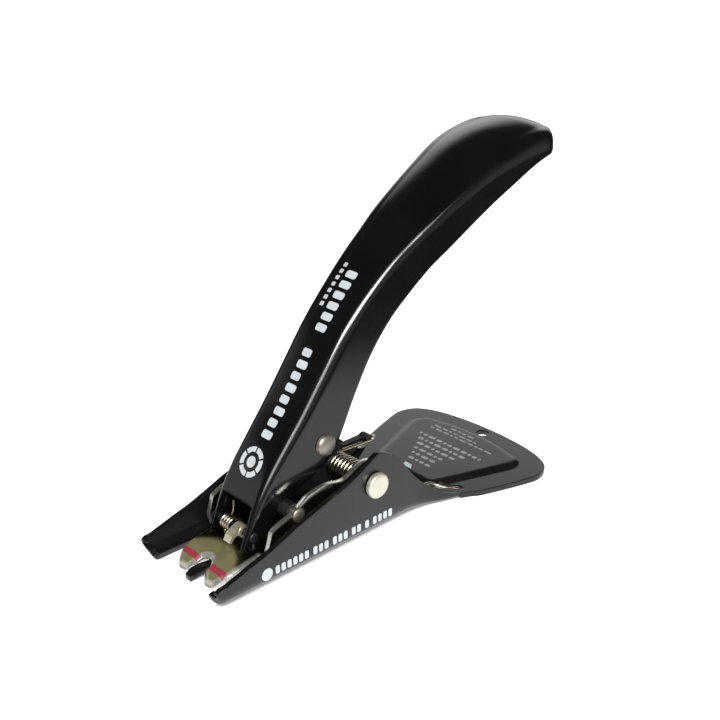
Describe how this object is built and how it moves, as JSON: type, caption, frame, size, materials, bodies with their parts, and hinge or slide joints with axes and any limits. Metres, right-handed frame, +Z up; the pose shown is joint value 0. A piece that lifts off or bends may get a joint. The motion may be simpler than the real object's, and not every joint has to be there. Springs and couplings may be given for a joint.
{
  "type": "staple remover",
  "caption": "Lever staple remover: a stamped steel foot with a forked claw and a long curved hand lever that turn together on one pin against a coil spring.",
  "frame": {"origin": "on the foot's flat underside, on the centre plane, directly under the main pin's axis", "axes": "+X forward to the claw, +Y to the tool's left-hand side, +Z up from the table"},
  "size_m": [0.0849, 0.0376, 0.0641],
  "materials": {
    "foot_paint": "gloss black paint",
    "main_pin_nickel": "nickel plate",
    "return_spring_wire": "plated spring wire",
    "claw_plate": "yellow-passivated zinc, ground edges",
    "handle_paint": "gloss black paint",
    "handle_rivet_nickel": "nickel plate",
    "claw_pin_nickel": "nickel plate",
    "pivot_plate_black": "black oxide",
    "pivot_spacer_steel": "plain steel",
    "rivet_spacer_left_steel": "plain steel",
    "rivet_spacer_right_steel": "plain steel",
    "claw_spacer_left_steel": "black oxide",
    "claw_spacer_right_steel": "black oxide",
    "nose_pin_black": "black oxide",
    "staple_keeper_nickel": "nickel plate",
    "keeper_spring_wire": "plated spring wire"
  },
  "bodies": {
    "base": {"base_frame": "foot_paint", "main_pin": "main_pin_nickel", "return_spring": "return_spring_wire"},
    "lever": {"handle_shell": "handle_paint", "claw_fork": "claw_plate", "pivot_plate": "pivot_plate_black", "pivot_spacer": "pivot_spacer_steel", "handle_rivet": "handle_rivet_nickel", "rivet_spacer_left": "rivet_spacer_left_steel", "rivet_spacer_right": "rivet_spacer_right_steel", "claw_pin": "claw_pin_nickel", "claw_spacer_left": "claw_spacer_left_steel", "claw_spacer_right": "claw_spacer_right_steel", "nose_pin": "nose_pin_black", "keeper_spring": "keeper_spring_wire"},
    "keeper": {"staple_keeper": "staple_keeper_nickel"}
  },
  "joints": [
    {"name": "lever_hinge", "type": "hinge", "parent": "base", "child": "lever", "pos_m": [0, 0, 0.0098], "axis": [0, -1, 0], "range_deg": [0, 35], "stiffness_Nm_per_rad": 0.2, "springref_deg": -20.05, "deforming": ["return_spring"]},
    {"name": "keeper_hinge", "type": "hinge", "parent": "lever", "child": "keeper", "pos_m": [0.02175, 0, 0.0061], "axis": [0, -1, 0], "range_deg": [0, 20], "stiffness_Nm_per_rad": 0.004, "springref_deg": -17.19, "deforming": ["keeper_spring"]}
  ]
}
